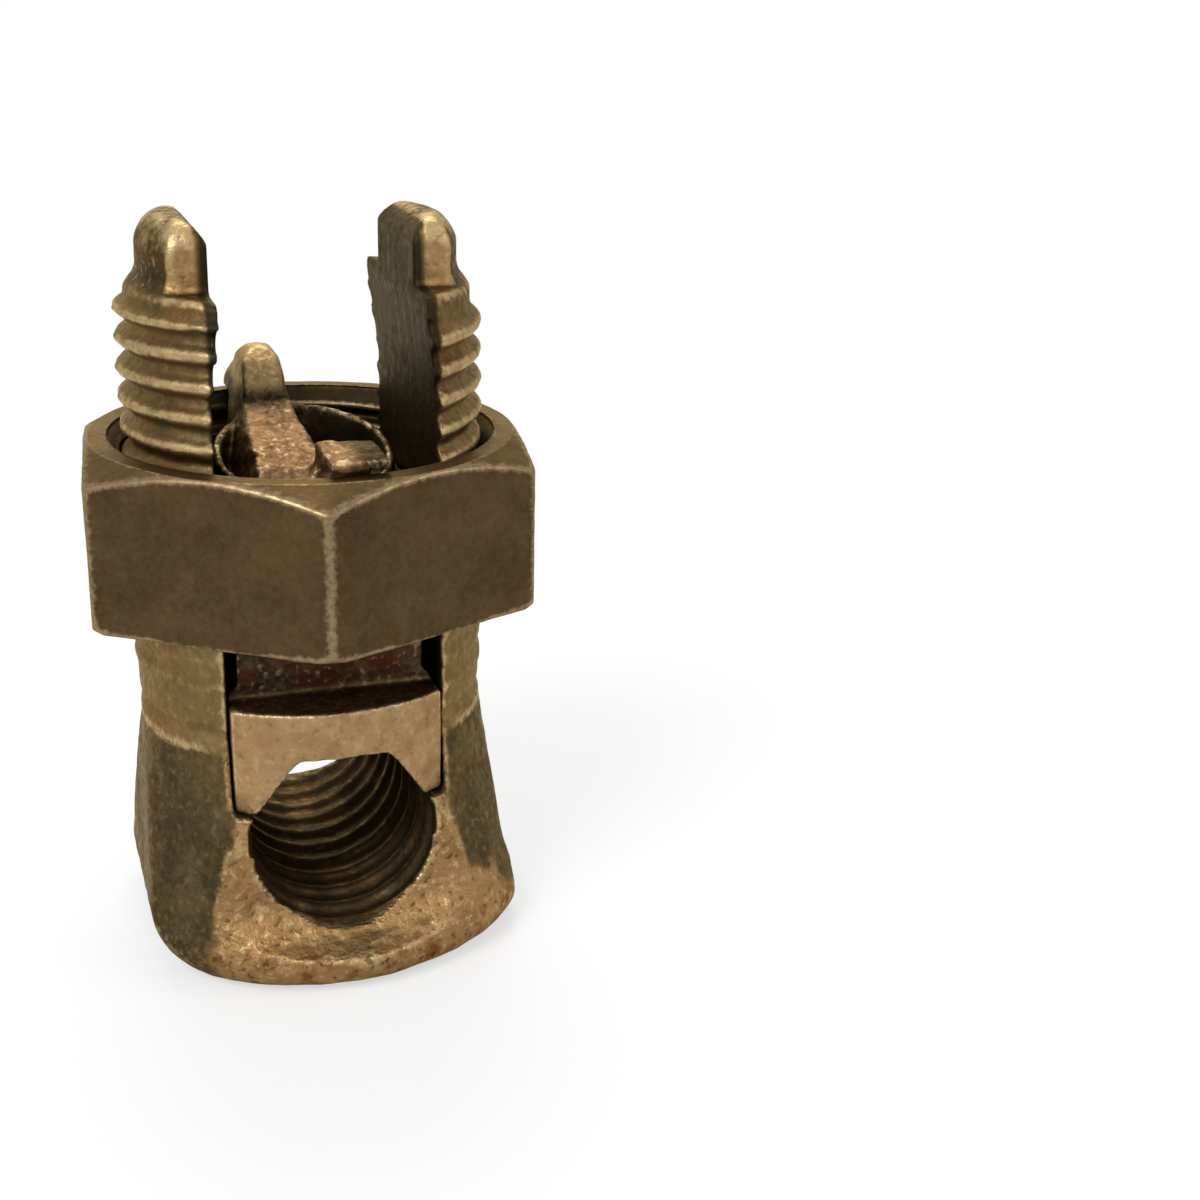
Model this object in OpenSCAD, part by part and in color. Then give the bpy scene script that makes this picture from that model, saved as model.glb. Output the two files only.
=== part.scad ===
// Split bolt connector: a slotted bolt with a flared head, a hexagon nut and
// a captive pressure bar that the nut carries up and down in the slot.
// The conductors lie along Y, the slot opens along Y and the legs stand at +X and -X.

/* [Bolt] */
// Height of the bolt from the underside of its foot to the leg tips
bolt_h = 33; // [30:0.5:40]
// Width of the slot between the two legs
slot_w = 9.3; // [8.4:0.1:9.8]
// Height of the slot floor, where the pressure bar seats
slot_floor_z = 8; // [7.4:0.1:9]
// How far the sides of the tips stand in from the thread crests
tip_inset = 1.1; // [0.9:0.05:1.6]
// Height of the leg tips above the thread
tip_h = 3.2; // [2:0.1:5]
// Distance between the flat front and back of a tip
tip_depth = 8; // [6:0.1:9]

/* [Thread] */
// Outside diameter of the thread
thread_d = 15.9; // [15.4:0.1:16.4]
// Distance between two thread crests
thread_pitch = 1.3; // [1:0.05:1.6]
// Height of the thread ridge above its core
thread_depth = 0.62; // [0.4:0.02:0.8]
// Plain shank between the flared head and the first thread ridge
thread_relief = 1.2; // [0.6:0.1:2]
// Room all round between the bolt thread and the bore of the nut
thread_clearance = 0.1; // [0.05:0.01:0.2]

/* [Head] */
// Height at which the flare of the head has run into the round shank
head_h = 11.4; // [10.5:0.1:12.5]
// Diameter of the round foot
foot_d = 19.4; // [18:0.1:21]
// Height of the foot under the flat front and back faces
foot_h = 2.3; // [1.8:0.1:2.6]
// Diameter of the flared corners just above the foot
flare_d = 18.9; // [17.6:0.1:20]
// Distance between the front and back faces at the top of the foot
head_depth = 15; // [14:0.1:16]
// Distance between the side faces at the top of the foot
head_width = 16.7; // [15:0.1:18]
// Lean of the front and back faces
face_draft = 3.5; // [0:0.5:6]
// Lean of the side faces
side_draft = 4; // [0:0.5:6]

/* [Conductor saddle] */
// Radius at the crests of the saddle ribs
saddle_r = 3.9; // [3.4:0.05:4]
// Height of the saddle axis
saddle_z = 6.6; // [6.4:0.1:7.4]
// Depth of the grooves between the saddle ribs
rib_depth = 0.36; // [0.1:0.02:0.4]
// Distance between the saddle ribs
rib_pitch = 1.5; // [1:0.1:2.5]
// Width of the land on each saddle rib
rib_land = 0.3; // [0.2:0.05:0.6]

/* [Nut] */
// Wall of the nut between the thread and the middle of a flat
nut_wall = 1.55; // [1.2:0.05:2.5]
// Height of the nut
nut_h = 6.75; // [5:0.25:9]
// Height of the underside of the nut above the shoulder of the bar
nut_gap = 3.85; // [3:0.05:5]
// Angle of the chamfer on the top corners of the nut
nut_chamfer = 30; // [20:1:40]
// Turn of the nut at rest
nut_turn = -5; // [-30:1:30]

/* [Pressure bar] */
// Height of the shoulder of the bar above the slot floor
bar_h = 4.85; // [4:0.05:6]
// Room between the bar and each wall of the slot
bar_clearance = 0.1; // [0.05:0.05:0.3]
// Height of the arch in the underside of the bar
arch_h = 2.65; // [2:0.05:3.2]
// Width of the mouth of the arch
arch_mouth = 7.5; // [7.2:0.1:7.8]
// Width of the flat crown of the arch
arch_crown = 4; // [3:0.1:5]
// Radius of the shoulders of the arch
arch_r = 0.9; // [0.4:0.1:1.2]
// Thickness of the neck along the conductors
neck_depth = 10.4; // [8:0.1:11]
// Room between the neck and the bore of the nut, where the thread of the nut stands in
neck_clearance = 0.95; // [0.6:0.05:1.2]
// Depth of the top of the neck below the top of the nut
neck_drop = 2.3; // [1.5:0.1:4]

/* [Swaged top of the bar] */
// Radius of the shallow well in the top of the neck
well_r = 3.6; // [3:0.1:3.8]
// Thickness of the rim around the well
rim_t = 0.45; // [0.3:0.05:0.8]
// Height of the rim at the axis above the top of the neck
rim_h = 1.3; // [0.6:0.1:2]
// Rise of the rim towards the back
rim_slope = 17; // [0:1:25]
// Width of the ridge across the well
ridge_w = 3.2; // [2:0.1:4]
// Width of the crest at the back of the ridge
crest_w = 2; // [1.2:0.1:3]
// Shift of the ridge along X
ridge_shift = -1.2; // [-1.5:0.1:1.5]
// Height of the crest above the top of the nut
crest_h = 2.9; // [1.5:0.1:4]
// Room between the spread lips and the top of the nut
lip_clearance = 0.15; // [0.1:0.05:0.4]
// Thickness of the front lip
lip_t = 0.5; // [0.3:0.05:0.8]
// Width of the front lip
lip_w = 2.6; // [2:0.1:4]
// Shift of the front lip along X
lip_shift = 0.8; // [-1.5:0.1:1.5]

/* [Hidden] */
$fn = 96;
past = 1;                                   // how far a cut runs past the face it opens
thread_r = thread_d / 2;
core_r = thread_r - thread_depth;
tip_r = thread_r - tip_inset;
leg_x = slot_w / 2;                         // inner face of a leg
leg_top_z = bolt_h - tip_h;                 // shoulder between thread and tip
tip_round = tip_r - leg_x + 0.25;           // dome over the whole thickness of a tip
face_fillet = 0.9;                          // from the front face into the top of the foot
foot_r = foot_d / 2;
flare_r = flare_d / 2;
foot_round = foot_h * 0.7;                  // rounding of the foot's bottom edge
bar_seat = 0.03;                            // the bar rests this far above the floor
bar_w = slot_w - 2 * bar_clearance;
bar_z = slot_floor_z + bar_seat;
shoulder_z = slot_floor_z + bar_h;          // top of the bar's block
nut_z = shoulder_z + nut_gap;
nut_top_z = nut_z + nut_h;
nut_flat_r = thread_r + nut_wall;           // half the distance across the flats
nut_corner_r = nut_flat_r / cos(30);
nut_face_r = nut_flat_r * 0.985;            // flat ring on top of the nut
bore_r = thread_r + thread_clearance;       // bore of the nut
lead_h = 0.45;                              // lead chamfer at each mouth of the nut
neck_r = bore_r - neck_clearance;
neck_z = nut_top_z - neck_drop;
rim_r = well_r + rim_t;
lip_z = nut_top_z + lip_clearance;
lip_reach = bore_r + lead_h + 0.2;          // the lips stand over the nut's mouth
crest_z = nut_top_z + crest_h;
flank = tan(30);                            // half the angle between thread flanks
crest_flat = thread_pitch / 8;
lead = atan(thread_pitch / (PI * thread_d));  // slope of the thread
first_ridge_z = head_h + thread_relief + thread_pitch * 0.6;
ridges = floor((leg_top_z - first_ridge_z) / thread_pitch + 0.5);

// Points on an arc in the plane, from angle a0 to a1
function arc(cx, cy, r, a0, a1, n) =
    [for (i = [0 : n]) let (a = a0 + (a1 - a0) * i / n) [cx + r * cos(a), cy + r * sin(a)]];

// Flared head: revolved outline of the bolt from its foot to its tips
function bolt_outline() = concat(
    [[0, 0]],
    arc(foot_r - foot_round, foot_round, foot_round, -90, 0, 8),
    [[foot_r - 0.08, foot_h - 0.2]],
    [for (i = [0 : 8]) let (t = i / 8, s = (1 - cos(180 * t)) / 2 * 0.45 + t * 0.55)
        [flare_r + (core_r + thread_depth * 0.85 - flare_r) * s,
         foot_h + 0.2 + (head_h - foot_h - 0.2) * t]],
    [[core_r + thread_depth * 0.85, head_h + thread_relief * 0.4],
     [core_r, head_h + thread_relief],
     [core_r, leg_top_z - 0.2],
     [tip_r, leg_top_z + 0.1]],
    arc(tip_r - tip_round, bolt_h - tip_round, tip_round, 0, 90, 8),
    [[0, bolt_h]]);

// Outline of one thread ridge that stands in the core
function ridge_outline() = let (inner = core_r - 0.5, half = crest_flat / 2, foot = half + thread_depth * flank)
    [[inner, -foot], [core_r, -foot], [thread_r, -half], [thread_r, half], [core_r, foot], [inner, foot]];

// Thread on the outside of both legs: each ridge follows the lead of one helix,
// so the ridges slope across a leg and stand half a pitch higher on the other
module leg_thread() {
    far = foot_r + past;
    for (s = [0, 1])
        rotate([0, 0, 180 * s])
            intersection() {
                for (k = [0 : ridges - 1])
                    translate([0, 0, first_ridge_z + thread_pitch * (k + s / 2)])
                        rotate([lead, 0, 0])
                            rotate_extrude()
                                polygon(ridge_outline());
                translate([leg_x / 2, -far, head_h])
                    cube([far, 2 * far, bolt_h]);
            }
}

// What the flat front or back face cuts away between the foot and the shank
module face_cut() {
    far = foot_r + past;
    lean = (head_h - foot_h) * tan(face_draft);
    rotate([90, 0, 90])
        translate([0, 0, -far])
            linear_extrude(2 * far)
                polygon(concat(
                    [[far, foot_h - 0.5], [far, head_h], [head_depth / 2 - lean, head_h]],
                    arc(head_depth / 2 + face_fillet, foot_h + face_fillet - 0.1, face_fillet,
                        180 - face_draft, 260, 6)));
}

// What a side face cuts away between the floor and the shank
module side_cut() {
    far = foot_r + past;
    low = (foot_h + past) * tan(side_draft);
    lean = (head_h - foot_h) * tan(side_draft);
    rotate([90, 0, 0])
        translate([0, 0, -far])
            linear_extrude(2 * far)
                polygon([
                    [head_width / 2 + low, -past],
                    [far + low, -past],
                    [far + low, head_h],
                    [head_width / 2 - lean, head_h]]);
}

// What the flat front or back of the tips cuts away
module tip_cut() {
    translate([-tip_r - past, tip_depth / 2, leg_top_z])
        cube([2 * (tip_r + past), tip_r, tip_h + past]);
}

// Ribbed round saddle along Y
module saddle() {
    far = foot_r + past;
    root = saddle_r + rib_depth;
    gap = rib_pitch - rib_land;
    count = ceil(far / rib_pitch);
    rotate([90, 0, 0])
        rotate_extrude()
            polygon(concat(
                [[0, -count * rib_pitch]],
                [for (k = [-count : count - 1], p = [0 : 2])
                    [p == 1 ? root : saddle_r,
                     k * rib_pitch + rib_land / 2 + (p < 2 ? p * gap / 2 : gap)]],
                [[0, count * rib_pitch]]));
}

module split_bolt() {
    color("#9a7d4a")
        difference() {
            union() {
                rotate_extrude()
                    polygon(bolt_outline());
                leg_thread();
            }
            for (s = [0, 180]) {
                rotate([0, 0, s])
                    face_cut();
                rotate([0, 0, s])
                    side_cut();
                rotate([0, 0, s])
                    tip_cut();
            }
            translate([-leg_x, -foot_r - past, slot_floor_z])
                cube([slot_w, 2 * (foot_r + past), bolt_h]);
            translate([0, 0, saddle_z])
                saddle();
        }
}

// Trapezoid arch with rounded shoulders, along Y
module arch() {
    crown_z = arch_h + slot_floor_z - bar_z;
    slope = atan2(arch_h, (arch_mouth - arch_crown) / 2);
    cut = arch_r * tan(slope / 2);
    rotate([90, 0, 0])
        translate([0, 0, -thread_r])
            linear_extrude(thread_d)
                polygon(concat(
                    [[-arch_mouth / 2, 0], [-arch_mouth / 2, -past],
                     [arch_mouth / 2, -past], [arch_mouth / 2, 0]],
                    arc(arch_crown / 2 - cut, crown_z - arch_r, arch_r, 90 - slope, 90, 5),
                    arc(cut - arch_crown / 2, crown_z - arch_r, arch_r, 90, 90 + slope, 5)));
}

// Neck that passes through the nut
module neck(z0, z1) {
    intersection() {
        translate([-bar_w / 2, -neck_depth / 2, z0])
            cube([bar_w, neck_depth, z1 - z0]);
        translate([0, 0, z0])
            cylinder(r = neck_r, h = z1 - z0);
    }
}

// Shallow well in the neck: a thin rim that rises towards the back
module well_rim() {
    intersection() {
        difference() {
            translate([0, 0, neck_z - past])
                cylinder(r = rim_r, h = 2 * rim_h + 2 * past);
            translate([0, 0, neck_z - 2 * past])
                cylinder(r = well_r, h = 2 * rim_h + 4 * past);
            translate([0, 0, neck_z + rim_h])
                rotate([rim_slope, 0, 0])
                    translate([-rim_r, -2 * rim_r, 0])
                        cube([2 * rim_r, 4 * rim_r, 2 * rim_r]);
        }
        translate([-bar_w / 2, -rim_r, neck_z - past])
            cube([bar_w, 2 * rim_r, 3 * rim_h + past]);
    }
}

// Ridge across the well, seen from the side: low in front, raised to the crest behind
function ridge_side() = let (y = lip_reach) [
    [-neck_depth / 2 + 0.4, neck_z - past],
    [-neck_depth / 2 + 0.4, nut_top_z - 1.2],
    [-neck_depth / 2 + 1.2, nut_top_z - 0.6],
    [-1.4, nut_top_z - 0.25],
    [1, nut_top_z + 0.15],
    [2.6, nut_top_z + 0.25 * crest_h],
    [3.6, nut_top_z + 0.8 * crest_h],
    [4.5, crest_z],
    [5.5, crest_z - 0.1],
    [6.4, nut_top_z + 0.65 * crest_h],
    [y - 0.4, lip_z + 0.9],
    [y, lip_z + 0.4],
    [y, lip_z],
    [neck_r - 0.3, lip_z],
    [neck_depth / 2 - 0.3, nut_top_z - 0.8],
    [neck_depth / 2 - 0.3, neck_z - past]];

// Ridge seen along the conductors: a bell that narrows to the crest
function ridge_front() = let (b = ridge_w / 2, c = crest_w / 2, m = nut_top_z) concat(
    [[-b - 0.3, neck_z - past], [-b - 0.1, m - 1.4], [-b + 0.1, m - 0.6], [-c - 0.15, m + 0.4]],
    arc(0, crest_z - c, c, 180, 0, 10),
    [[c + 0.15, m + 0.4], [b - 0.1, m - 0.6], [b + 0.1, m - 1.4], [b + 0.3, neck_z - past]]);

module ridge() {
    translate([ridge_shift, 0, 0])
        intersection() {
            rotate([90, 0, 90])
                translate([0, 0, -ridge_w])
                    linear_extrude(2 * ridge_w)
                        polygon(ridge_side());
            rotate([90, 0, 0])
                translate([0, 0, -thread_d])
                    linear_extrude(2 * thread_d)
                        polygon(ridge_front());
        }
}

// Front lip, bent forward over the mouth of the nut
module front_lip() {
    translate([lip_shift - lip_w / 2, 0, 0])
        rotate([90, 0, 90])
            linear_extrude(lip_w)
                polygon([
                    [1 - neck_depth / 2, neck_z - past],
                    [0.3 - neck_depth / 2, neck_z - past],
                    [0.3 - neck_depth / 2, lip_z - 0.5],
                    [-neck_depth / 2 - 0.2, lip_z],
                    [-lip_reach, lip_z],
                    [-lip_reach, lip_z + lip_t],
                    [-neck_depth / 2 + 0.1, lip_z + lip_t],
                    [1 - neck_depth / 2, lip_z - 0.4]]);
}

module pressure_bar() {
    color("#a5825a") {
        difference() {
            intersection() {
                translate([-bar_w / 2, -thread_r, bar_z])
                    cube([bar_w, thread_d, shoulder_z - bar_z]);
                translate([0, 0, bar_z])
                    cylinder(r = thread_r, h = shoulder_z - bar_z);
            }
            translate([0, 0, bar_z])
                arch();
        }
        neck(shoulder_z - past, neck_z);
        well_rim();
        ridge();
        front_lip();
    }
}

module hex_nut() {
    chamfer_h = (nut_corner_r - nut_face_r) * tan(nut_chamfer);
    color("#6b5535")
        difference() {
            intersection() {
                translate([0, 0, nut_z])
                    rotate([0, 0, nut_turn - 90])
                        cylinder(r = nut_corner_r, h = nut_h, $fn = 6);
                translate([0, 0, nut_z])
                    rotate_extrude()
                        polygon([[0, 0], [nut_corner_r - 0.3, 0], [nut_corner_r + 0.1, 0.3],
                                 [nut_corner_r + 0.1, nut_h - chamfer_h - 0.1 * tan(nut_chamfer)],
                                 [nut_face_r, nut_h], [0, nut_h]]);
            }
            translate([0, 0, nut_z - past])
                cylinder(r = bore_r, h = nut_h + 2 * past);
            translate([0, 0, nut_top_z - lead_h])
                cylinder(r1 = bore_r, r2 = bore_r + lead_h + 0.15, h = lead_h + 0.15);
            translate([0, 0, nut_z - 0.15])
                cylinder(r1 = bore_r + lead_h + 0.15, r2 = bore_r, h = lead_h + 0.15);
        }
}

split_bolt();
pressure_bar();
hex_nut();
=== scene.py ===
import math
import bpy
import numpy as np
from mathutils import Matrix, Vector


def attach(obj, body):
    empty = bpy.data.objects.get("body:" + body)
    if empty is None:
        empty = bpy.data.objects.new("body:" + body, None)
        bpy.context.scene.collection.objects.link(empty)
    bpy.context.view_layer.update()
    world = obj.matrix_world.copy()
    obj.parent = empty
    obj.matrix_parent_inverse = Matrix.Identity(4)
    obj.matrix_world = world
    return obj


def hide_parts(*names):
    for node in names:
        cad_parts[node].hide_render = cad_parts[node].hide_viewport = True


# Split bolt connector. Every piece is made in millimetres and shrunk to metres at the end,
# with +Z up the bolt and the conductors along Y.
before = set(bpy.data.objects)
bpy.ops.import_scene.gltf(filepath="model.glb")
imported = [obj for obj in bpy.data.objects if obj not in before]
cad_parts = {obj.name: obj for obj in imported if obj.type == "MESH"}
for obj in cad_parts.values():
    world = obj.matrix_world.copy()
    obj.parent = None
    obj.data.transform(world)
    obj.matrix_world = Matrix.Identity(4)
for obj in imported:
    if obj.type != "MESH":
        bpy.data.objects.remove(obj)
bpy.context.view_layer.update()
mm = 0.001
tau = 2 * math.pi
away = 40.0  # added to a limit where it should not count


# helpers for all three pieces

def mix(a, b, t):
    return a + (b - a) * t


def ramp(x, low, high):
    # smooth rise from 0 at low to 1 at high
    t = np.clip((x - low) / (high - low), 0, 1)
    return t * t * (3 - 2 * t)


def fall(x, low, high):
    # smooth fall from 1 at low to 0 at high
    return ramp(-x, -high, -low)


def softMin(a, b, width):
    # the smaller of two limits, rounded where they cross
    t = np.clip(0.5 + 0.5 * (b - a) / width, 0, 1)
    return mix(b, a, t) - width * t * (1 - t)


lumpTable = np.random.RandomState(11).rand(40, 40, 40)


def lumps(points, size, shift):
    # smooth random lumps, about one per size, between -1 and 1
    q = points / size + 3.7 + shift
    cell = np.floor(q).astype(int)
    f = q - cell
    f = f * f * (3 - 2 * f)
    total = np.zeros(len(points))
    for corner in range(8):
        step = np.array([corner & 1, corner >> 1 & 1, corner >> 2 & 1])
        at = (cell + step) % len(lumpTable)
        share = np.prod(np.where(step, f, 1 - f), axis=1)
        total += share * lumpTable[at[:, 0], at[:, 1], at[:, 2]]
    return 2 * total - 1


def relief(points, layers):
    # layers of lumps, each with its height, size and shift
    return sum(height * lumps(points, size, shift) for height, size, shift in layers)


def makeObject(name, points, faces):
    mesh = bpy.data.meshes.new(name)
    mesh.from_pydata(np.asarray(points).tolist(), [], faces)
    mesh.update()
    obj = bpy.data.objects.new(name, mesh)
    bpy.context.scene.collection.objects.link(obj)
    return obj


def ringFaces(rows, columns, closed):
    # quads between rings of points; closed joins the last ring to the first
    faces = []
    for i in range(rows if closed else rows - 1):
        low, high = i * columns, (i + 1) % rows * columns
        faces += [(low + j, low + (j + 1) % columns, high + (j + 1) % columns, high + j)
                  for j in range(columns)]
    return faces


def tubeFaces(rows, columns):
    # a stack of rings with a face over each end
    ends = [tuple(range(columns))[::-1], tuple(range((rows - 1) * columns, rows * columns))]
    return ringFaces(rows, columns, False) + ends


def applyModifiers(obj):
    bpy.context.view_layer.update()
    graph = bpy.context.evaluated_depsgraph_get()
    mesh = bpy.data.meshes.new_from_object(obj.evaluated_get(graph))
    old = obj.data
    obj.modifiers.clear()
    obj.data = mesh
    bpy.data.meshes.remove(old)


def carve(obj, cutter):
    tool = obj.modifiers.new("carve", "BOOLEAN")
    tool.operation = "DIFFERENCE"
    tool.solver = "EXACT"
    tool.object = cutter
    applyModifiers(obj)
    bpy.data.objects.remove(cutter)


def remesh(obj, grid):
    tool = obj.modifiers.new("remesh", "REMESH")
    tool.mode = "VOXEL"
    tool.voxel_size = grid
    applyModifiers(obj)


def thin(obj, triangles):
    # brings the mesh down to a number of triangles
    count = sum(len(p.vertices) - 2 for p in obj.data.polygons)
    if count > triangles:
        tool = obj.modifiers.new("thin", "DECIMATE")
        tool.ratio = triangles / count
        applyModifiers(obj)


def readMesh(obj):
    count = len(obj.data.vertices)
    points, normals = np.zeros(count * 3), np.zeros(count * 3)
    obj.data.vertices.foreach_get("co", points)
    obj.data.vertices.foreach_get("normal", normals)
    return points.reshape(-1, 3), normals.reshape(-1, 3)


def moveMesh(obj, points):
    obj.data.vertices.foreach_set("co", np.ascontiguousarray(points).ravel())
    obj.data.update()


def edgeEnds(obj):
    ends = np.zeros(len(obj.data.edges) * 2, np.int64)
    obj.data.edges.foreach_get("vertices", ends)
    return ends.reshape(-1, 2)


def blur(values, ends, rounds):
    # averages values over neighbouring points
    count = len(values)
    near = np.bincount(ends.ravel(), minlength=count) + 1e-9
    flat = values.reshape(count, -1)
    for _ in range(rounds):
        columns = [np.bincount(ends[:, 0], flat[ends[:, 1], k], count)
                   + np.bincount(ends[:, 1], flat[ends[:, 0], k], count)
                   for k in range(flat.shape[1])]
        flat = 0.5 * flat + 0.5 * np.stack(columns, 1) / near[:, None]
    return flat.reshape(values.shape)


def soften(obj, rounds, share):
    # rounds off the mesh where share is near 1
    points, _ = readMesh(obj)
    moved = blur(points, edgeEnds(obj), rounds)
    moveMesh(obj, points + (moved - points) * share[:, None])


def storeField(obj, name, values):
    layer = obj.data.attributes.new(name, "FLOAT", "POINT")
    layer.data.foreach_set("value", np.ascontiguousarray(values, np.float32))


def weigh(regions, weights):
    # each region's share times its weight, summed
    return sum(weight * regions[name] for name, weight in weights.items())


def paint(obj, regions, fields):
    for name, weights in fields.items():
        storeField(obj, name, np.clip(weigh(regions, weights), 0, 1))


def markEdges(obj, rounds, scale, cornerShare=1.0, dark=0.0, worn=0.0):
    # field "edge": near 1 on worn arrises, below 0 in corners and where dark is 1, which paints
    # shade there;
    # worn raises it, for wear and for a painted highlight; scale is the bulge that counts as a full
    # edge
    points, normals = readMesh(obj)
    ends = edgeEnds(obj)
    bulge = np.sum((points - blur(points, ends, rounds)) * normals, axis=1)
    edge = np.clip(blur(bulge, ends, 2) / scale, -1, 1)
    edge = np.maximum(np.where(edge < 0, edge * cornerShare, edge), worn)
    storeField(obj, "edge", mix(edge, np.minimum(edge - 0.5, -0.3), dark))


def finishPiece(obj, body, node, material):
    obj.data.transform(Matrix.Scale(mm, 4))
    obj.data.shade_smooth()
    obj.data.materials.clear()
    obj.data.materials.append(material)
    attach(obj, body)
    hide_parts(node)
    print(obj.name, "has", len(obj.data.polygons), "faces")


# bronze finishes: what all three share, then one look for each piece beside its shape

finish = {
    "noise": (0.3, 0.7),  # the part of a noise's range that shows
    "warmSize": 0.6, "warmPatch": (0.25, 0.6, 0.35, 1), "stainPatch": (0.42, 0.62),
    "lightSpeck": (0.56, 0.7), "darkPit": (0.42, 0.3), "pitShare": 0.7, "wearBreak": 0.25,
    "metallic": 0.9, "sheenTint": (0.8, 0.68, 0.5), "glossNoise": (0.5, 1.0), "hollowRoughness": 0.66,
    "wearPolish": 0.1,
}


def bronze(name, look):
    f = finish
    material = bpy.data.materials.new(name)
    material.use_nodes = True
    nodes, links = material.node_tree.nodes, material.node_tree.links
    shader = nodes["Principled BSDF"]
    place = nodes.new("ShaderNodeTexCoord")
    scale = nodes.new("ShaderNodeVectorMath")
    scale.operation = "SCALE"
    scale.inputs["Scale"].default_value = 1000
    links.new(place.outputs["Object"], scale.inputs[0])

    def noiseAt(size, detail, rough=0.6):
        node = nodes.new("ShaderNodeTexNoise")
        node.inputs["Scale"].default_value = 1 / size
        node.inputs["Detail"].default_value = detail
        node.inputs["Roughness"].default_value = rough
        links.new(scale.outputs[0], node.inputs["Vector"])
        return node.outputs["Fac"]

    def field(fieldName):
        node = nodes.new("ShaderNodeAttribute")
        node.attribute_name = fieldName
        return node.outputs["Fac"]

    def join(kind, a, b):
        node = nodes.new("ShaderNodeMath")
        node.operation = kind
        for socket, value in zip(node.inputs, (a, b)):
            if isinstance(value, (int, float)):
                socket.default_value = value
            else:
                links.new(value, socket)
        return node.outputs[0]

    def spread(value, low, high, lowOut=0.0, highOut=1.0):
        node = nodes.new("ShaderNodeMapRange")
        node.interpolation_type = "SMOOTHSTEP"
        links.new(value, node.inputs["Value"])
        numbers = {"From Min": low, "From Max": high, "To Min": lowOut, "To Max": highOut}
        for key, number in numbers.items():
            node.inputs[key].default_value = number
        return node.outputs["Result"]

    def swing(noise, amount):
        # a noise that adds up to amount, or takes it away
        return spread(noise, *f["noise"], -amount, amount)

    def blend(a, b, share):
        node = nodes.new("ShaderNodeMix")
        node.data_type = "RGBA"
        links.new(share, node.inputs["Factor"])
        for socket, value in ((node.inputs[6], a), (node.inputs[7], b)):
            if isinstance(value, tuple):
                socket.default_value = (*value, 1)
            else:
                links.new(value, socket)
        return node.outputs[2]

    mottle = noiseAt(look["mottle"], 4)
    grain = noiseAt(look["grain"], 3, 0.7)
    specks = noiseAt(look["speckSize"], 2, 0.5)

    # oxide, bare body colour, warmer patches and stains
    tone = join("ADD", field("tone"), swing(mottle, look["uneven"]))
    tone = join("ADD", tone, swing(grain, look["grainTone"]))
    colour = blend(look["oxide"], look["body"], spread(tone, 0, 1))
    patches = spread(noiseAt(look["mottle"] * f["warmSize"], 3), *f["warmPatch"])
    colour = blend(colour, look["warm"], join("MULTIPLY", field("warm"), patches))
    patches = spread(noiseAt(look["stainSize"], 4), *f["stainPatch"])
    colour = blend(colour, look["stain"], join("MULTIPLY", field("stain"), patches))

    # bright worn edges and specks, then a dark colour in concave corners and pits, which also
    # paints shade where a piece sets the edge field dark
    broken = join("ADD", field("edge"), swing(grain, f["wearBreak"]))
    worn = spread(broken, look["wearFrom"], look["wearTo"])
    bare = join("MULTIPLY", field("rough"), spread(specks, *f["lightSpeck"]))
    worn = join("MAXIMUM", worn, join("MULTIPLY", bare, look["speckLight"]))
    colour = blend(colour, look["bright"], worn)
    pits = join("MULTIPLY", field("rough"), spread(specks, *f["darkPit"]))
    corners = spread(field("edge"), -look["hollowDarkFrom"], -look["hollowDarkTo"])
    hollow = join("MAXIMUM", corners, join("MULTIPLY", pits, f["pitShare"]))
    colour = blend(colour, look["hollowDark"], join("MULTIPLY", hollow, look["hollowDarkShare"]))

    links.new(colour, shader.inputs["Base Color"])
    shader.inputs["Metallic"].default_value = f["metallic"]
    shader.inputs["Specular Tint"].default_value = (*f["sheenTint"], 1)
    smooth, dull = look["roughness"]
    gloss = join("ADD", grain, join("MULTIPLY", mottle, 0.5))
    gloss = spread(gloss, *f["glossNoise"], dull, smooth)
    gloss = join("MAXIMUM", gloss, join("MULTIPLY", hollow, f["hollowRoughness"]))
    gloss = join("SUBTRACT", gloss, join("MULTIPLY", worn, f["wearPolish"]))
    links.new(gloss, shader.inputs["Roughness"])

    fine = join("MULTIPLY", noiseAt(look["bumpSize"], 5, 0.7), look["bump"])
    coarse = join("MULTIPLY", join("MULTIPLY", specks, field("rough")), look["roughBump"])
    bump = nodes.new("ShaderNodeBump")
    bump.inputs["Strength"].default_value = 1
    bump.inputs["Distance"].default_value = mm
    links.new(join("ADD", fine, coarse), bump.inputs["Height"])
    links.new(bump.outputs["Normal"], shader.inputs["Normal"])
    return material


# the bolt: one surface of revolution with a cut thread, then slot and saddle

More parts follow.
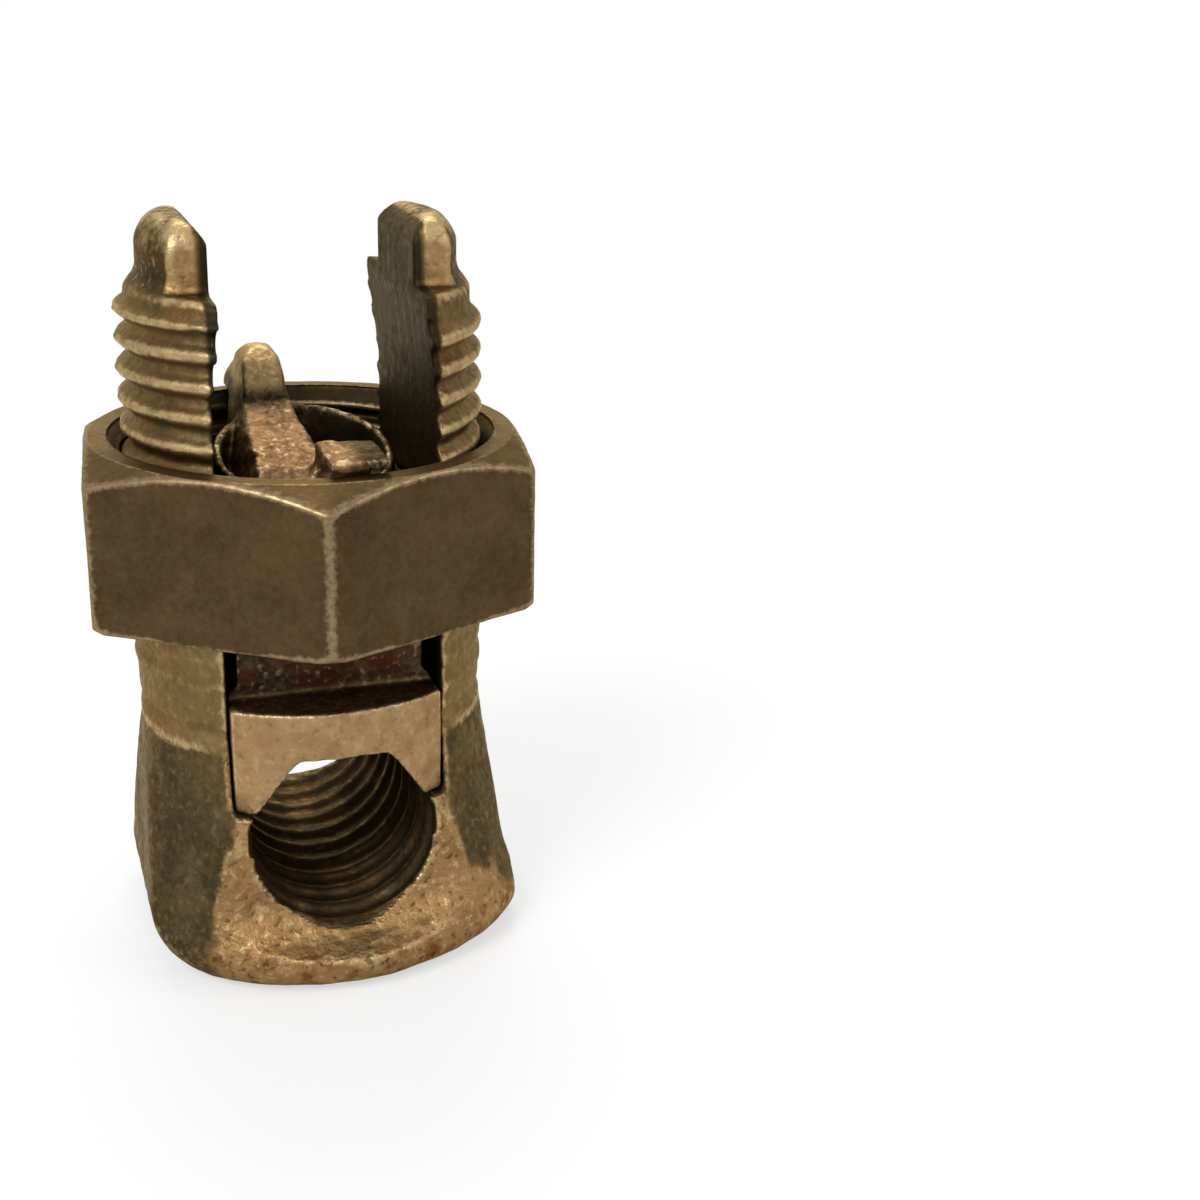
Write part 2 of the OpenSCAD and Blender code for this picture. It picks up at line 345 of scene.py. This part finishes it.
bolt = {
    "height": 33.0, "capR": 0.4, "columns": 330, "outlineStep": 0.11, "grid": 0.165,
    "triangles": 198000,
    # foot and flared head, leans in degrees
    "footR": 9.7, "footH": 2.3, "footRound": 1.61, "footTopIn": 0.08,
    "flareR": 9.45, "flareSwing": 0.45, "headTop": 10.7,
    "faceY": 7.5, "faceLean": 3.5, "faceRound": 0.25,
    "sideX": 8.35, "sideLean": 4.0, "sideRound": 0.2,
    "fillet": 2.4, "filletLow": 0.6, "flareOut": 2.1, "hollowPower": 2.2,
    "heelR": 9.25, "heelRound": 5.0, "heelIn": 4.2, "heelSoft": 0.5, "toeOut": 0.28,
    # thread, worn low below the nut
    "shankR": 7.857, "coreR": 7.42, "threadR": 7.93, "threadStart": 12.1, "firstRidge": 12.88,
    "pitch": 1.3, "ridgeHalf": 0.5, "crestHalf": 0.12, "ridgeRound": 0.7,
    "wornTo": 18.5, "wornFade": 1.5, "wornDepth": 0.7, "wornR": 7.8,
    # tips, flat in front and behind, rounded over
    "tipZ": 30.0, "tipR": 6.85, "tipRound": 0.5, "tipY": 3.6, "tipSoft": 0.15,
    "tipDrop": 0.85, "tipEdge": 1.1,
    # slot between the legs, and ribbed saddle
    "slotX": 4.65, "slotFloor": 8.0, "leanFrom": 26.0, "leanTo": 29.5, "lean": 0.4,
    "saddleR": 3.9, "saddleZ": 6.6, "saddleHalf": 7.3, "saddleColumns": 96, "saddleStep": 0.15,
    "ribDepth": 0.36, "ribPitch": 1.5, "ribLand": 0.3,
    "cutReach": 12.0, "smoothing": (2, 0.8),
    # relief: height, size and shift of each layer, and how far the skin is set in
    "castSkin": ((0.10, 2.6, 0), (0.07, 0.9, 5), (0.035, 0.4, 9)), "castIn": 0.07,
    "sideCast": 0.45,  # how much of it the sides keep
    "legSkin": ((0.03, 1.2, 2), (0.02, 0.45, 4)),
    "slotSkin": ((0.012, 0.5, 3),), "slotIn": 0.012, "slotStretch": (1, 1, 0.2),
    "saddleSkin": ((0.04, 0.7, 6),), "saddleIn": 0.02,
    # weight of each region in the fields that the finish reads
    "fields": {
        # tone also paints light and shade: the head's front and back faces, its foot band, its
        # sides a little, and the tips' front faces are painted lighter as lit faces; the head's
        # corners and the tips' sides are darker as painted shade
        "tone": {"all": 0.5, "crest": 0.15, "shank": 0.12, "head": -0.16, "side": 0.08,
                 "front": 0.5, "foot": 0.3, "litTipFront": 1.1, "tip": -0.4},
        "warm": {"front": 0.85, "foot": 0.6, "litTipFront": 0.9},
        "stain": {"foot": 0.8, "legs": 0.35, "front": 0.25, "hole": 0.22},
        "rough": {"front": 1.0, "foot": 0.6, "tip": 0.4, "all": 0.15},
    },
    # the saddle hole is partly darkened as painted shade
    # the tips' front faces get part of the bright colour as a painted highlight
    "holeShade": 0.45, "rimHalf": 0.28, "tipFaceHighlight": 0.45, "legCorners": 0.6, "edges": (6, 0.035),
    "look": {
        "oxide": (0.026, 0.020, 0.010), "body": (0.205, 0.137, 0.055), "warm": (0.34, 0.198, 0.082),
        "stain": (0.17, 0.070, 0.018), "bright": (0.44, 0.32, 0.16), "hollowDark": (0.014, 0.009, 0.004),
        "mottle": 2.8, "uneven": 0.1, "grain": 0.4, "grainTone": 0.07, "stainSize": 1.8,
        "speckSize": 0.36, "speckLight": 0.8, "wearFrom": 0.25, "wearTo": 1.3,
        "hollowDarkFrom": 0.1, "hollowDarkTo": 0.7, "hollowDarkShare": 0.85,
        "roughness": (0.34, 0.62), "bumpSize": 0.24, "bump": 0.035, "roughBump": 0.12,
    },
}


def boltOutline():
    # radius and height up the side of the bolt, before thread and flats
    b = bolt
    path = [(b["capR"], 0.0)]
    for a in np.radians(np.linspace(-90, 0, 14)):
        path.append((b["footR"] - b["footRound"] * (1 - math.cos(a)),
                     b["footRound"] * (1 + math.sin(a))))
    path.append((b["footR"] - b["footTopIn"], b["footH"] - 0.2))
    for t in np.linspace(0, 1, 40):
        share = (1 - math.cos(math.pi * t)) / 2 * b["flareSwing"] + t * (1 - b["flareSwing"])
        path.append((mix(b["flareR"], b["shankR"], share),
                     mix(b["footH"] + 0.2, b["headTop"], t)))
    path += [(b["shankR"], b["headTop"] + 0.4), (b["coreR"], b["threadStart"]),
             (b["coreR"], b["tipZ"] - 0.1), (b["tipR"] + 0.12, b["tipZ"] + 0.4),
             (b["tipR"], b["tipZ"] + 0.7)]
    for a in np.radians(np.linspace(0, 90, 12)):
        path.append((b["tipR"] - b["tipRound"] * (1 - math.cos(a)),
                     b["height"] - b["tipRound"] * (1 - math.sin(a))))
    path.append((b["capR"], b["height"]))
    path = np.array(path)
    walk = np.concatenate([[0], np.cumsum(np.hypot(*np.diff(path, axis=0).T))])
    steps = np.linspace(0, walk[-1], int(walk[-1] / b["outlineStep"]))
    return np.interp(steps, walk, path[:, 0]), np.interp(steps, walk, path[:, 1])


def threadHeight(z, angle):
    # share of the thread's depth, 1 on a crest of the right-hand helix
    b = bolt
    turn = (z - b["firstRidge"]) / b["pitch"] - angle / tau
    off = np.abs(turn - np.round(turn)) * b["pitch"]
    v = np.clip((b["ridgeHalf"] - off) / (b["ridgeHalf"] - b["crestHalf"]), 0, 1)
    return mix(v, 0.5 - 0.5 * np.cos(math.pi * v), b["ridgeRound"])


def cutThread(r, z, a):
    # the thread stands on a core, and is worn nearly smooth below the nut
    b = bolt
    fade = ramp(z, b["threadStart"] - 0.3, b["threadStart"] + 0.5)
    fade = fade * fall(z, b["tipZ"] - 0.9, b["tipZ"])
    fresh = ramp(z, b["wornTo"] - b["wornFade"], b["wornTo"])
    core = mix(b["wornR"], b["coreR"], fresh)
    depth = (b["threadR"] - core) * mix(b["wornDepth"], 1, fresh) * threadHeight(z, a)
    onThread = (z > b["threadStart"] - 0.4) & (z < b["tipZ"] - 0.3)
    r = np.where(onThread, np.maximum(r, core), r)
    return np.where(fade > 0, np.maximum(r, core + depth * fade - (1 - fade)), r)


def trimFlats(r, z, a):
    b = bolt
    acrossX = np.maximum(np.abs(np.cos(a)), 1e-3)
    acrossY = np.maximum(np.abs(np.sin(a)), 1e-3)
    # flat front and back faces, with a broad hollow into the top of the foot
    rise = np.clip((z - b["footH"] + b["filletLow"]) / b["fillet"], 0, 1)
    face = b["faceY"] - (z - b["footH"]) * math.tan(math.radians(b["faceLean"]))
    face = face + b["flareOut"] * (1 - rise) ** b["hollowPower"]
    face = face + away * (z > b["headTop"]) + away * (z < b["footH"] - b["filletLow"])
    r = softMin(r, face / acrossY, b["faceRound"])
    side = b["sideX"] - (z - b["footH"]) * math.tan(math.radians(b["sideLean"]))
    side = side + away * (z > b["headTop"])
    r = softMin(r, side / acrossX, b["sideRound"])
    tip = b["tipY"] + away * (z < b["tipZ"] + 0.15)
    r = softMin(r, tip / acrossY, b["tipSoft"])
    # the heel is rounded well in on one side, and the toe stands out a little on the other
    low = 1 - np.clip(z / b["heelRound"], 0, 1)
    heel = b["heelR"] - b["heelIn"] * (1 - np.sqrt(1 - low ** 2))
    heel = heel + away * (low <= 0) + away * (np.cos(a) > -0.05)
    r = softMin(r, heel / acrossX, b["heelSoft"])
    return r + b["toeOut"] * ramp(np.cos(a), 0.1, 0.9) * fall(z, 2.3, 4.5) * ramp(z, -1, 0.6)


def slotTool():
    # a block between the legs, whose sides lean in towards the tips
    b = bolt
    top = b["slotX"] - b["lean"]
    levels = [(b["slotFloor"], b["slotX"]), (b["leanFrom"], b["slotX"]),
              (b["leanTo"], top), (away, top)]
    corners = ((-1, -1), (1, -1), (1, 1), (-1, 1))
    box = [(x * half, y * b["cutReach"], z) for z, half in levels for x, y in corners]
    return makeObject("slotTool", box, tubeFaces(len(levels), len(corners)))


def saddleTool():
    # a tube along Y whose round ribs meet in narrow lands
    b = bolt
    along = np.arange(-b["cutReach"], b["cutReach"] + 0.01, b["saddleStep"])
    fold = np.abs((along / b["ribPitch"]) - np.round(along / b["ribPitch"])) * b["ribPitch"]
    deep = np.clip((fold - b["ribLand"] / 2) / (b["ribPitch"] / 2 - b["ribLand"] / 2), 0, 1)
    ribbed = np.abs(along) < b["saddleHalf"]
    radius = b["saddleR"] + b["ribDepth"] * np.sin(deep * math.pi / 2) * ribbed
    turn = np.arange(b["saddleColumns"]) / b["saddleColumns"] * tau
    tube = np.stack([radius[:, None] * np.cos(turn), along[:, None] + 0 * turn,
                     b["saddleZ"] + radius[:, None] * np.sin(turn)], 2).reshape(-1, 3)
    faces = [f[::-1] for f in tubeFaces(len(along), b["saddleColumns"])]
    return makeObject("saddleTool", tube, faces)


def roundTips(obj):
    # lowers the tips near their outline, on all sides
    b = bolt
    points, _ = readMesh(obj)
    x, y, z = points.T
    inner = b["slotX"] - b["lean"]
    inward = np.minimum(np.abs(x) - inner, b["tipR"] - np.hypot(x, y))
    inward = np.minimum(inward, b["tipY"] - np.abs(y))
    over = 1 - np.clip(inward / b["tipEdge"], 0, 1)
    onTip = ramp(z, b["tipZ"] + 0.6, b["height"] + 0.4) * (z > b["tipZ"])
    points[:, 2] -= b["tipDrop"] * over ** 2 * onTip
    moveMesh(obj, points)
    rounds, share = b["smoothing"]
    soften(obj, rounds, np.full(len(points), share))


def buildBolt():
    b = bolt
    r0, z0 = boltOutline()
    angle = np.arange(b["columns"]) / b["columns"] * tau
    r, z, a = r0[:, None] + 0 * angle, z0[:, None] + 0 * angle, angle + 0 * z0[:, None]
    r = trimFlats(cutThread(r, z, a), z, a)
    points = np.stack([r * np.cos(a), r * np.sin(a), z], 2).reshape(-1, 3)
    obj = makeObject("bolt", points, tubeFaces(*r.shape))
    carve(obj, slotTool())
    carve(obj, saddleTool())
    remesh(obj, b["grid"])
    roundTips(obj)
    return obj


def roughenBolt(obj):
    # cast skin on the head, strongest in front and behind, and finer marks on the legs and cuts
    b = bolt
    points, normals = readMesh(obj)
    x, _, z = points.T
    inSlot = (np.abs(x) < b["slotX"] + 0.12) & (z > b["slotFloor"] - 0.1)
    holeR = b["saddleR"] + b["ribDepth"] + 0.15
    inHole = (np.hypot(x, z - b["saddleZ"]) < holeR) & (z < b["slotFloor"] + 0.5)
    head = fall(z, 11.0, 12.2)
    front = ramp(np.abs(normals[:, 1]), 0.75, 0.95)
    cast = relief(points, b["castSkin"]) - b["castIn"]
    push = mix(relief(points, b["legSkin"]), cast, head * mix(b["sideCast"], 1, front))
    push = np.where(inSlot, relief(points * b["slotStretch"], b["slotSkin"]) - b["slotIn"], push)
    push = np.where(inHole, relief(points, b["saddleSkin"]) - b["saddleIn"], push)
    flatFoot = fall(z, 0.05, 0.25)
    moveMesh(obj, points + normals * (push * (1 - flatFoot))[:, None])


def paintBolt(obj):
    b = bolt
    points, normals = readMesh(obj)
    x, y, z = points.T
    ahead = np.abs(normals[:, 1])
    offRim = 1 - ramp(ahead, 0.6, 0.85)
    inSlot = fall(np.abs(x), b["slotX"] - 0.02, b["slotX"] + 0.2)
    inSlot = inSlot * ramp(z, b["slotFloor"] - 0.2, b["slotFloor"] + 0.1)
    holeR = b["saddleR"] + b["ribDepth"]
    inHole = fall(np.hypot(x, z - b["saddleZ"]), holeR + 0.02, holeR + 0.14) * offRim
    inHole = inHole * fall(z, b["slotFloor"] + 0.4, b["slotFloor"] + 0.9)
    inHole = inHole * fall(np.abs(y), 6.9, 7.9) * fall(np.abs(y), 7.3, 7.7)
    head = fall(z, b["headTop"] - 0.2, b["headTop"] + 0.15)
    toe = ramp(np.abs(y) / np.hypot(x, y) + 0.3 * ramp(x, -1, 2), 0.74, 0.84)
    # the tips' sides are painted darker as shade, and their front faces lighter as painted light
    tip = ramp(z, b["tipZ"], b["tipZ"] + 0.3)
    litTipFront = tip * ramp(-normals[:, 1], 0.5, 0.8)
    regions = {
        "all": 1.0, "head": head, "legs": 1 - head, "hole": inHole,
        "tip": tip, "litTipFront": litTipFront,
        # front, side and foot also set painted light on the head: its faces lighter, its corners
        # darker as painted shade
        "front": ramp(ahead + 0.25 * toe * fall(z, 3.2, 5.0), 0.8, 0.93) * head,
        "side": ramp(np.abs(normals[:, 0]), 0.86, 0.97) * head ** 2,
        "foot": fall(z, 1.8, 2.6) * ramp(ahead, 0.15, 0.6) * toe,
        "shank": ramp(z, b["headTop"] - 0.2, b["headTop"] + 0.2) * fall(z, 16.5, 18.0),
        "crest": ramp(np.hypot(x, y), 7.45, 7.9) * (1 - head) * fall(z, b["tipZ"], b["tipZ"] + 0.1),
    }
    # the slot is painted dark, partly oxide and partly painted shade, and the saddle hole darker as
    # painted shade
    dark = np.maximum(inSlot, b["holeShade"] * inHole)
    clear = (1 - inSlot) * (1 - inHole)
    sums = {name: weigh(regions, weights) for name, weights in b["fields"].items()}
    storeField(obj, "tone", np.clip(mix(sums["tone"], 0.0, dark), 0, 1))
    storeField(obj, "warm", np.clip(sums["warm"], 0, 1) * clear)
    storeField(obj, "stain", np.clip(sums["stain"], 0, 1) * (1 - inSlot))
    storeField(obj, "rough", np.clip(sums["rough"], 0, 1) * clear)
    rim = np.exp(-((z - b["headTop"]) / b["rimHalf"]) ** 2) * offRim * (1 - inSlot)
    cornerShare = 1 - b["legCorners"] * (1 - head) * (1 - tip)
    # the tips' front faces are lifted to the bright colour as a painted highlight
    markEdges(obj, *b["edges"], cornerShare, dark, rim + b["tipFaceHighlight"] * litTipFront)


# the nut: a ring of sections, hexagon outside and helical thread inside

nut = {
    "flatR": 9.5, "low": 16.2, "height": 7.25, "turn": -5.0, "columns": 480,
    "chamfer": 30.0, "topFace": 0.985, "topRound": 0.14, "cornerIn": 0.05, "cornerRound": 0.12,
    "underIn": 0.3, "underSlope": 1.3, "underRound": 0.1,
    "boreR": 8.05, "crestR": 7.5, "lead": 0.45, "leadRound": 0.08, "turnStep": 0.11,
    "skin": ((0.02, 1.6, 0), (0.012, 0.6, 3)), "skinIn": 0.02, "edges": (3, 0.014),
    "fields": {
        # the nut's upward faces are painted a little lighter, as painted light from above
        "tone": {"all": 0.5, "top": 0.14, "bore": -0.4},
        "warm": {"outside": 0.12}, "stain": {"outside": 0.15}, "rough": {"outside": 0.12},
    },
    "look": {
        "oxide": (0.020, 0.013, 0.006), "body": (0.105, 0.064, 0.027), "warm": (0.17, 0.10, 0.042),
        "stain": (0.07, 0.032, 0.013), "bright": (0.24, 0.17, 0.088), "hollowDark": (0.015, 0.009, 0.004),
        "mottle": 3.2, "uneven": 0.14, "grain": 0.3, "grainTone": 0.08, "stainSize": 2.2,
        "speckSize": 0.35, "speckLight": 0.3, "wearFrom": 0.3, "wearTo": 1.2,
        "hollowDarkFrom": 0.3, "hollowDarkTo": 0.9, "hollowDarkShare": 0.7,
        "roughness": (0.36, 0.5), "bumpSize": 0.3, "bump": 0.022, "roughBump": 0.05,
    },
}


def buildNut():
    n = nut
    low, high = n["low"], n["low"] + n["height"]
    corner = n["flatR"] / math.cos(math.pi / 6)
    ringR = n["flatR"] * n["topFace"]
    mouth = n["boreR"] + n["lead"]
    # the section runs up the bore, out over the top, down the flanks and in under the nut
    onBore, onFace, onFlank = 0, 1, 2
    steps = int(n["height"] / n["turnStep"])
    section = [(0, z, onBore) for z in np.linspace(low + 0.05, high - 0.05, steps)]
    section += [(r, high, onFace) for r in np.linspace(mouth, ringR, 9)]
    section += [(0, z, onFlank) for z in np.linspace(high - 0.03, low + 0.03, 62)]
    section += [(r, low, onFace) for r in np.linspace(ringR + 0.3, mouth, 11)]
    section = np.array(section)
    a = np.arange(n["columns"]) / n["columns"] * tau
    r, z, kind = (section[:, k][:, None] + 0 * a for k in range(3))
    spin = a + 0 * r
    # hexagon, top chamfer and lower bevel
    local = (spin - math.radians(n["turn"] - 90)) % (math.pi / 3) - math.pi / 6
    hexR = n["flatR"] / np.cos(local)
    hexR = softMin(hexR, corner - n["cornerIn"], n["cornerRound"])
    cone = ringR + (high - z) / math.tan(math.radians(n["chamfer"]))
    under = corner - n["underIn"] + (z - low) * n["underSlope"]
    outside = softMin(softMin(hexR, cone, n["topRound"]), under, n["underRound"])
    # thread, with a lead-in at both ends
    thread = n["boreR"] - (n["boreR"] - n["crestR"]) * (1 - threadHeight(z, spin))
    mouthR = n["boreR"] + np.maximum(n["lead"] + 0.1 - np.minimum(high - z, z - low), -1)
    bore = -softMin(-thread, -mouthR, n["leadRound"])
    r = np.where(kind == onBore, bore, np.where(kind == onFlank, outside, r))
    r = np.where(kind == onFace, np.minimum(r, np.minimum(hexR - n["cornerIn"], outside)), r)
    points = np.stack([r * np.cos(spin), r * np.sin(spin), z], 2).reshape(-1, 3)
    return makeObject("nut", points, [f[::-1] for f in ringFaces(*r.shape, True)])


def dressNut(obj):
    n = nut
    points, normals = readMesh(obj)
    outside = ramp(np.hypot(points[:, 0], points[:, 1]), 8.3, 8.8)
    push = (relief(points, n["skin"]) - n["skinIn"]) * outside
    moveMesh(obj, points + normals * push[:, None])
    # upward faces, painted lighter as light from above
    top = ramp(normals[:, 2], 0.3, 0.6) * outside
    paint(obj, {"all": 1.0, "outside": outside, "top": top, "bore": 1 - outside}, n["fields"])
    markEdges(obj, *n["edges"])


# the pressure bar: the solid itself, remeshed, then its swaged top worked over

bar = {
    "grid": 0.11, "triangles": 150000, "weld": 0.002,
    "shoulderZ": 12.85, "topZ": 20.8, "topFade": 0.8, "ridgeX": -1.2, "crestZ": 24.2,
    "neckSlim": 0.09, "flankX": 4.0, "flankOut": 0.05, "flankSmooth": 0.7,
    "topSmoothing": (14, 0.9), "bodySmoothing": (3, 0.8),
    "skin": ((0.035, 1.4, 0), (0.02, 0.5, 3)), "skinIn": 0.03,
    "crush": ((0.12, 1.0, 8), (0.09, 0.45, 2)), "crushBehind": 0.25,
    "fields": {
        # the neck and the block's top ledge, under the nut, are painted dark: painted shadow of the
        # nut, with reddish stains
        "tone": {"block": 0.88, "neck": 0.14, "top": 0.2, "crest": 1.2},
        "warm": {"block": 0.42, "pink": 0.55, "neck": 0.1},
        "stain": {"neck": 0.9, "block": 0.25, "pink": 0.2},
        "rough": {"block": 0.5, "neck": 0.5, "pink": 0.9, "crest": 0.2},
    },
    "crestWear": 0.5, "edges": (6, 0.035),
    "look": {
        "oxide": (0.016, 0.010, 0.005), "body": (0.335, 0.225, 0.100), "warm": (0.40, 0.228, 0.112),
        "stain": (0.07, 0.018, 0.006), "bright": (0.52, 0.37, 0.20), "hollowDark": (0.016, 0.009, 0.004),
        "mottle": 2.0, "uneven": 0.1, "grain": 0.3, "grainTone": 0.1, "stainSize": 1.2,
        "speckSize": 0.4, "speckLight": 0.6, "wearFrom": 0.3, "wearTo": 1.2,
        "hollowDarkFrom": 0.15, "hollowDarkTo": 0.8, "hollowDarkShare": 0.75,
        "roughness": (0.36, 0.6), "bumpSize": 0.24, "bump": 0.04, "roughBump": 0.12,
    },
}


def buildBar():
    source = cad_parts["pressure_bar"]
    obj = bpy.data.objects.new("pressureBar", source.data.copy())
    bpy.context.scene.collection.objects.link(obj)
    obj.data.transform(Matrix.Scale(1 / mm, 4))
    weld = obj.modifiers.new("weld", "WELD")
    weld.merge_threshold = bar["weld"]
    applyModifiers(obj)
    remesh(obj, bar["grid"])
    return obj


def onTop(z):
    return ramp(z, bar["topZ"], bar["topZ"] + bar["topFade"])


def onBlock(z):
    return fall(z, bar["shoulderZ"] - 0.1, bar["shoulderZ"] + 0.2)


def shapeBar(obj):
    b = bar
    points, _ = readMesh(obj)
    top = onTop(points[:, 2])
    for (rounds, share), where in ((b["topSmoothing"], top), (b["bodySmoothing"], 1 - top)):
        soften(obj, rounds, share * where)
    points, normals = readMesh(obj)
    x, y, z = points.T
    flank = onBlock(z) * ramp(np.abs(normals[:, 0]), 0.8, 0.95) * (np.abs(x) > b["flankX"])
    push = (relief(points, b["skin"]) - b["skinIn"]) * (1 - b["flankSmooth"] * flank)
    push = push + b["flankOut"] * flank
    # the ridge is crushed, most of all towards the front
    crushed = top * fall(np.abs(x - b["ridgeX"]), 1.4, 2.3)
    crushed = crushed * mix(b["crushBehind"], 1, ramp(-y, 0.4, 2.0))
    push = push + crushed * relief(points, b["crush"])
    points = points + normals * push[:, None]
    neck = ramp(z, b["shoulderZ"] + 0.1, b["shoulderZ"] + 0.7)
    neck = neck * fall(z, b["topZ"] - 0.4, b["topZ"] + 0.2)
    points[:, 0] *= 1 - b["neckSlim"] * neck
    moveMesh(obj, points)


def paintBar(obj):
    b = bar
    points, normals = readMesh(obj)
    x, y, z = points.T
    top, block = onTop(z), onBlock(z)
    # the block's top ledge under the nut gets painted shadow, like the neck
    shadedLedge = block * ramp(z, b["shoulderZ"] - 0.7, b["shoulderZ"] - 0.3)
    shadedLedge = shadedLedge * ramp(normals[:, 2], 0.4, 0.8)
    crushed = top * fall(np.abs(x - b["ridgeX"]), 1.6, 2.4)
    crest = crushed * ramp(z, b["crestZ"], b["crestZ"] + 1)
    regions = {
        "top": top, "crest": crest, "block": block * (1 - shadedLedge),
        # painted shadow under the nut, with reddish stains
        "neck": np.maximum((1 - top) * (1 - block), shadedLedge),
        "pink": crushed * fall(y, 1.6, 2.6) * (1 - crest),
    }
    paint(obj, regions, b["fields"])
    markEdges(obj, *b["edges"], worn=b["crestWear"] * crest)


print("bolt: thread, slot and saddle")
boltPiece = buildBolt()
roughenBolt(boltPiece)
thin(boltPiece, bolt["triangles"])
paintBolt(boltPiece)
castBronze = bronze("castBronze", bolt["look"])
finishPiece(boltPiece, "split_bolt", "split_bolt", castBronze)
print("nut: hexagon and inner thread")
nutPiece = buildNut()
dressNut(nutPiece)
nutBronze = bronze("nutBronze", nut["look"])
finishPiece(nutPiece, "hex_nut", "hex_nut", nutBronze)
print("pressure bar: block, neck and swaged top")
barPiece = buildBar()
shapeBar(barPiece)
thin(barPiece, bar["triangles"])
paintBar(barPiece)
barBronze = bronze("barBronze", bar["look"])
finishPiece(barPiece, "pressure_bar", "pressure_bar", barBronze)


# floor, lights and camera

studio = {
    "floorHalf": 1.5, "floorColour": 0.88, "floorRoughness": 0.9,
    "whiteNear": 0.6, "whiteFrom": 0.02, "whiteTo": 0.12,  # how white the floor is seen
    "worldLevel": 0.5, "aimZ": 0.016,
    # place, size and power of each lamp
    "lamps": (((-0.16, -0.14, 0.22), 0.16, 0.55), ((0.20, -0.10, 0.16), 0.14, 0.10),
              ((0.02, 0.18, 0.24), 0.2, 0.4)),
}
camera = {
    "place": (-0.01308, -0.07616, 0.0428), "towards": (0.3187, 0.8862, -0.3365), "roll": 1.548,
    "lens": 52.48, "sensor": 36, "clipStart": 0.005,
}


def combine(tree, kind, a, b):
    node = tree.nodes.new("ShaderNodeMath")
    node.operation = kind
    tree.links.new(a, node.inputs[0])
    tree.links.new(b, node.inputs[1])
    return node.outputs[0]


def buildFloor():
    # a pale floor that the camera sees as white, more so away from the object's shadow
    s = studio
    half = s["floorHalf"]
    corners = [(-half, -half, 0), (half, -half, 0), (half, half, 0), (-half, half, 0)]
    floor = makeObject("floor", corners, [(0, 1, 2, 3)])
    material = bpy.data.materials.new("paleFloor")
    material.use_nodes = True
    tree = material.node_tree
    nodes, links = tree.nodes, tree.links
    shader = nodes["Principled BSDF"]
    shader.inputs["Base Color"].default_value = (s["floorColour"],) * 3 + (1,)
    shader.inputs["Roughness"].default_value = s["floorRoughness"]
    place = nodes.new("ShaderNodeTexCoord")
    length = nodes.new("ShaderNodeVectorMath")
    length.operation = "LENGTH"
    links.new(place.outputs["Object"], length.inputs[0])
    fade = nodes.new("ShaderNodeMapRange")
    fade.interpolation_type = "SMOOTHSTEP"
    fade.inputs["From Min"].default_value = s["whiteFrom"]
    fade.inputs["From Max"].default_value = s["whiteTo"]
    fade.inputs["To Min"].default_value = s["whiteNear"]
    links.new(length.outputs["Value"], fade.inputs["Value"])
    path = nodes.new("ShaderNodeLightPath")
    seen = combine(tree, "MULTIPLY", fade.outputs["Result"], path.outputs["Is Camera Ray"])
    white = nodes.new("ShaderNodeEmission")
    white.inputs["Strength"].default_value = 1
    both = nodes.new("ShaderNodeMixShader")
    links.new(seen, both.inputs["Fac"])
    links.new(shader.outputs["BSDF"], both.inputs[1])
    links.new(white.outputs["Emission"], both.inputs[2])
    links.new(both.outputs["Shader"], nodes["Material Output"].inputs["Surface"])
    floor.data.materials.append(material)


def buildWorld():
    # white where it is seen or mirrored, softer where it lights
    world = bpy.data.worlds.new("studioWorld")
    bpy.context.scene.world = world
    world.use_nodes = True
    tree = world.node_tree
    back = tree.nodes["Background"]
    back.inputs["Color"].default_value = (1, 1, 1, 1)
    path = tree.nodes.new("ShaderNodeLightPath")
    seen = combine(tree, "MAXIMUM", path.outputs["Is Camera Ray"], path.outputs["Is Glossy Ray"])
    seen = combine(tree, "MAXIMUM", seen, path.outputs["Is Transmission Ray"])
    level = tree.nodes.new("ShaderNodeMapRange")
    level.inputs["To Min"].default_value = studio["worldLevel"]
    level.inputs["To Max"].default_value = 1
    tree.links.new(seen, level.inputs["Value"])
    tree.links.new(level.outputs["Result"], back.inputs["Strength"])


def buildLamps():
    aim = Vector((0, 0, studio["aimZ"]))
    for i, (spot, size, power) in enumerate(studio["lamps"]):
        lamp = bpy.data.lights.new(f"softLamp{i + 1}", "AREA")
        lamp.shape = "DISK"
        lamp.size = size
        lamp.energy = power
        obj = bpy.data.objects.new(lamp.name, lamp)
        obj.location = spot
        obj.rotation_euler = (aim - Vector(spot)).to_track_quat("-Z", "Y").to_euler()
        bpy.context.scene.collection.objects.link(obj)


def buildCamera():
    c = camera
    data = bpy.data.cameras.new("camera")
    data.lens = c["lens"]
    data.sensor_width = c["sensor"]
    data.clip_start = c["clipStart"]
    obj = bpy.data.objects.new("camera", data)
    ahead = Vector(c["towards"]).normalized()
    right = ahead.cross(Vector((0, 0, 1))).normalized()
    up = right.cross(ahead)
    tilt = math.radians(c["roll"])
    right, up = (right * math.cos(tilt) + up * math.sin(tilt),
                 up * math.cos(tilt) - right * math.sin(tilt))
    turn = Matrix((right, up, -ahead)).transposed()
    obj.matrix_world = Matrix.Translation(c["place"]) @ turn.to_4x4()
    bpy.context.scene.collection.objects.link(obj)
    bpy.context.scene.camera = obj


print("floor, lamps and camera")
buildFloor()
buildWorld()
buildLamps()
buildCamera()
bpy.context.scene.view_settings.view_transform = "Standard"
